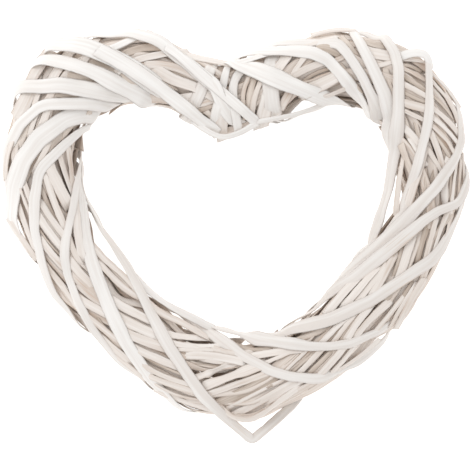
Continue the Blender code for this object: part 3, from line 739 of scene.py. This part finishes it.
def make_piece(name, points, grain_places, worn, tone, material):
    """A closed skin round the rings of points, which carries what its material reads."""
    rings, count = points.shape[:2]
    first = np.arange(rings - 1)[:, None] * count + np.arange(count)
    follower = np.arange(rings - 1)[:, None] * count + (np.arange(count) + 1) % count
    quads = np.stack([first, first + count, follower + count, follower], -1).reshape(-1, 4)
    last = (rings - 1) * count
    faces = quads.tolist()
    faces.append(list(range(count)))
    faces.append([last + k for k in range(count - 1, -1, -1)])
    mesh = bpy.data.meshes.new(name)
    mesh.from_pydata(points.reshape(-1, 3).tolist(), [], faces)
    mesh.validate()
    grain = mesh.attributes.new("grain", "FLOAT_VECTOR", "POINT")
    grain.data.foreach_set("vector", grain_places.reshape(-1))
    edge = mesh.attributes.new("worn", "FLOAT", "POINT")
    edge.data.foreach_set("value", worn.reshape(-1))
    shade = mesh.attributes.new("tone", "FLOAT", "POINT")
    shade.data.foreach_set("value", np.full(len(mesh.vertices), tone))
    mesh.polygons.foreach_set("use_smooth", np.ones(len(mesh.polygons), bool))
    mesh.materials.append(material)
    piece = bpy.data.objects.new(name, mesh)
    bpy.context.scene.collection.objects.link(piece)
    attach(piece, "root")
    return piece


# Materials

# The colours of each slot's paint, thick and dull, and of its wood, and the share of bare fibres
WASHES = {
    "washed_willow": {
        "paint": (0.945, 0.925, 0.90, 1), "dull_paint": (0.78, 0.725, 0.68, 1),
        "wood": (0.72, 0.58, 0.47, 1), "dark_wood": (0.50, 0.38, 0.29, 1),
        "bare": 0.0, "roughness": 0.62,
    },
    "thinly_washed_willow": {
        "paint": (0.92, 0.875, 0.835, 1), "dull_paint": (0.72, 0.63, 0.56, 1),
        "wood": (0.66, 0.52, 0.42, 1), "dark_wood": (0.42, 0.33, 0.26, 1),
        "bare": 0.16, "roughness": 0.75,
    },
    "bare_willow": {
        "paint": (0.85, 0.77, 0.70, 1), "dull_paint": (0.62, 0.53, 0.455, 1),
        "wood": (0.55, 0.45, 0.37, 1), "dark_wood": (0.32, 0.25, 0.20, 1),
        "bare": 0.25, "roughness": 0.85,
    },
}
# How often the noises change in a metre: along the grain, across it, and from strip to strip
STREAKS = (30.0, 1300.0, 1.0)
BANDS = (16.0, 420.0, 1.0)
PATCHES = (26.0, 110.0, 1.0)
# From where to where in the streaks and bands the colour changes
STREAK_RANGE = (0.35, 0.65)
BAND_RANGE = (0.36, 0.66)
BARE_RANGE = (0.66, 0.84)
BARE_SHIFT = 0.4            # how far that last range moves with the share of bare fibres
# What makes the paint dull
DULL_TONE = 0.45
DULL_WORN = 0.35
DULL_BANDS = 0.55
# What makes the wood show
BARE_NOISE = 0.5
BARE_WORN = 0.06
BARE_TONE = 0.04
BARE_TONE_RISE = 0.5
# Fine relief
STREAK_RELIEF = 0.7
BAND_RELIEF = 0.6
RELIEF_STRENGTH = 0.5
RELIEF_DEPTH = 0.15 * MM
PAINT_SHINE = 0.25
FLOOR_COLOUR = (0.9, 0.9, 0.9, 1)
FLOOR_GLOW = 0.6


class Graph:
    """Short ways to add nodes to a material."""

    def __init__(self, name):
        self.material = bpy.data.materials.new(name)
        self.material.use_nodes = True
        self.nodes = self.material.node_tree.nodes
        self.links = self.material.node_tree.links
        self.shader = self.nodes["Principled BSDF"]

    def put(self, value, socket):
        if isinstance(value, bpy.types.NodeSocket):
            self.links.new(value, socket)
        else:
            socket.default_value = value

    def attribute(self, name, output="Fac"):
        node = self.nodes.new("ShaderNodeAttribute")
        node.attribute_name = name
        return node.outputs[output]

    def stretched(self, vector, scale):
        node = self.nodes.new("ShaderNodeMapping")
        node.inputs["Scale"].default_value = scale
        self.links.new(vector, node.inputs["Vector"])
        return node.outputs["Vector"]

    def noise(self, vector, scale, detail=3.0, roughness=0.55):
        node = self.nodes.new("ShaderNodeTexNoise")
        node.inputs["Scale"].default_value = scale
        node.inputs["Detail"].default_value = detail
        node.inputs["Roughness"].default_value = roughness
        self.links.new(vector, node.inputs["Vector"])
        return node.outputs["Fac"]

    def math(self, operation, a, b=0.0):
        node = self.nodes.new("ShaderNodeMath")
        node.operation = operation
        self.put(a, node.inputs[0])
        self.put(b, node.inputs[1])
        return node.outputs[0]

    def weighted(self, *terms):
        """The sum of some values, each times its weight."""
        products = [self.math("MULTIPLY", value, weight) for value, weight in terms]
        total = products[0]
        for product in products[1:]:
            total = self.math("ADD", total, product)
        return total

    def ramp(self, value, low, high):
        node = self.nodes.new("ShaderNodeMapRange")
        node.inputs["From Min"].default_value = low
        node.inputs["From Max"].default_value = high
        self.links.new(value, node.inputs["Value"])
        return node.outputs["Result"]

    def mix(self, share, a, b):
        node = self.nodes.new("ShaderNodeMix")
        node.data_type = "RGBA"
        self.put(share, node.inputs["Factor"])
        self.put(a, node.inputs["A"])
        self.put(b, node.inputs["B"])
        return node.outputs["Result"]

    def bump(self, height, strength, distance):
        node = self.nodes.new("ShaderNodeBump")
        node.inputs["Strength"].default_value = strength
        node.inputs["Distance"].default_value = distance
        self.links.new(height, node.inputs["Height"])
        return node.outputs["Normal"]


def willow(name, paint, dull_paint, wood, dark_wood, bare, roughness):
    """Split willow under a wash: bare is the share of the fibres on which the wood shows."""
    graph = Graph(name)
    grain = graph.attribute("grain", "Vector")
    streaks = graph.noise(graph.stretched(grain, STREAKS), 1.0, 4.0, 0.6)
    bands = graph.noise(graph.stretched(grain, BANDS), 1.0, 3.0)
    patches = graph.noise(graph.stretched(grain, PATCHES), 1.0, 2.0)
    tone = graph.attribute("tone")
    worn = graph.attribute("worn")
    wood_colour = graph.mix(graph.ramp(streaks, *STREAK_RANGE), dark_wood, wood)
    dull = graph.weighted(
        (tone, DULL_TONE + bare), (worn, DULL_WORN), (graph.ramp(bands, *BAND_RANGE), DULL_BANDS)
    )
    paint_colour = graph.mix(graph.math("MINIMUM", dull, 1.0), paint, dull_paint)
    shows = graph.weighted(
        (streaks, BARE_NOISE), (patches, BARE_NOISE), (worn, BARE_WORN),
        (tone, BARE_TONE + BARE_TONE_RISE * bare),
    )
    share = graph.ramp(shows, *(limit - bare * BARE_SHIFT for limit in BARE_RANGE))
    graph.put(graph.mix(share, paint_colour, wood_colour), graph.shader.inputs["Base Color"])
    graph.shader.inputs["Roughness"].default_value = roughness
    graph.shader.inputs["Specular IOR Level"].default_value = PAINT_SHINE
    fine = graph.weighted((streaks, STREAK_RELIEF), (bands, BAND_RELIEF))
    relief = graph.bump(fine, RELIEF_STRENGTH, RELIEF_DEPTH)
    graph.links.new(relief, graph.shader.inputs["Normal"])
    return graph.material


def floor_material():
    graph = Graph("floor")
    graph.shader.inputs["Base Color"].default_value = FLOOR_COLOUR
    graph.shader.inputs["Roughness"].default_value = 1.0
    graph.shader.inputs["Specular IOR Level"].default_value = 0.0
    graph.shader.inputs["Emission Color"].default_value = (1, 1, 1, 1)
    graph.shader.inputs["Emission Strength"].default_value = FLOOR_GLOW
    return graph.material


# Stage

FLOOR_REACH = 6.0
FLOOR_GAP = 0.2 * MM        # under the part
WORLD_STRENGTH = 0.85
KEY_PLACE = (-0.9, 0.9, 1.5)
KEY_SIZE = 1.2
KEY_POWER = 9.0


def make_stage():
    mesh = bpy.data.meshes.new("floor")
    signs = ((-1, -1), (1, -1), (1, 1), (-1, 1))
    mesh.from_pydata([(x * FLOOR_REACH, y * FLOOR_REACH, 0) for x, y in signs], [], [(0, 1, 2, 3)])
    floor = bpy.data.objects.new("floor", mesh)
    floor.location.z = -FLOOR_GAP
    mesh.materials.append(floor_material())
    bpy.context.scene.collection.objects.link(floor)


def add_area_light(name, place, size, power):
    data = bpy.data.lights.new(name, "AREA")
    data.size = size
    data.energy = power
    light = bpy.data.objects.new(name, data)
    light.location = place
    way = -np.array(place)
    light.rotation_euler = (
        math.atan2(math.hypot(way[0], way[1]), -way[2]), 0, math.atan2(way[0], -way[1]) + math.pi
    )
    bpy.context.scene.collection.objects.link(light)


def make_light():
    world = bpy.data.worlds.new("studio")
    world.use_nodes = True
    background = world.node_tree.nodes["Background"]
    background.inputs["Color"].default_value = (1, 1, 1, 1)
    background.inputs["Strength"].default_value = WORLD_STRENGTH
    bpy.context.scene.world = world
    add_area_light("key", KEY_PLACE, KEY_SIZE, KEY_POWER)
    bpy.context.scene.view_settings.view_transform = "Standard"


def make_camera():
    data = bpy.data.cameras.new("camera")
    data.sensor_width = SENSOR
    data.lens = SENSOR * CAMERA_DISTANCE / PHOTO_WIDTH
    data.clip_start = 0.1
    data.clip_end = 20.0
    camera = bpy.data.objects.new("camera", data)
    x, y, z = PHOTO_MIDDLE
    camera.location = (x, y, z + CAMERA_DISTANCE)
    bpy.context.scene.collection.objects.link(camera)
    bpy.context.scene.camera = camera


def look_of(node):
    if node.startswith("core_runner"):
        return INSIDE
    if node in TURNED_WRAPS:
        return TURNED
    if node.startswith(UNDER_WRAPS):
        return LINING
    return OUTER


def dress_nodes(nodes, materials):
    """A skin for each node, in the order of their names."""
    every = np.concatenate([welded(node.data)[0] for _, node in nodes])
    for seed, (name, node) in enumerate(nodes, 1):
        look = look_of(name)
        rows = strip_sections(node.data, every)
        piece = strip_piece(name, rows, look, materials[look.slot], seed)
        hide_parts(name)


def add_loose_strips(nodes, materials):
    """The strips that lie on the lining and have no node."""
    surface = Surface([node.data for name, node in nodes if name.startswith(UNDER_WRAPS)])
    # The deep strips are bare willow whose dull tones also paint the shade in the gaps
    groups = (
        ("filling", FILL, FILLING), ("top", TOPMOST, TOP), ("end", ENDMOST, ENDS), ("deep", SHADED_BARE, SHADED_BARE_STRIPS),
    )
    for group, look, strips in groups:
        for number, strip in enumerate(strips, 1):
            name = f"{group}_strip_{number:03d}"
            seed = FIRST_SEED + sum(map(ord, name))
            filling_piece(name, seed, strip, surface, look, materials[look.slot])


def main():
    for old in list(bpy.data.objects):
        bpy.data.objects.remove(old, do_unlink=True)
    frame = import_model()
    make_stage()
    make_light()
    make_camera()
    nodes = sorted(frame["nodes"].items())
    materials = {slot: willow(slot, **wash) for slot, wash in WASHES.items()}
    dress_nodes(nodes, materials)
    add_loose_strips(nodes, materials)


main()
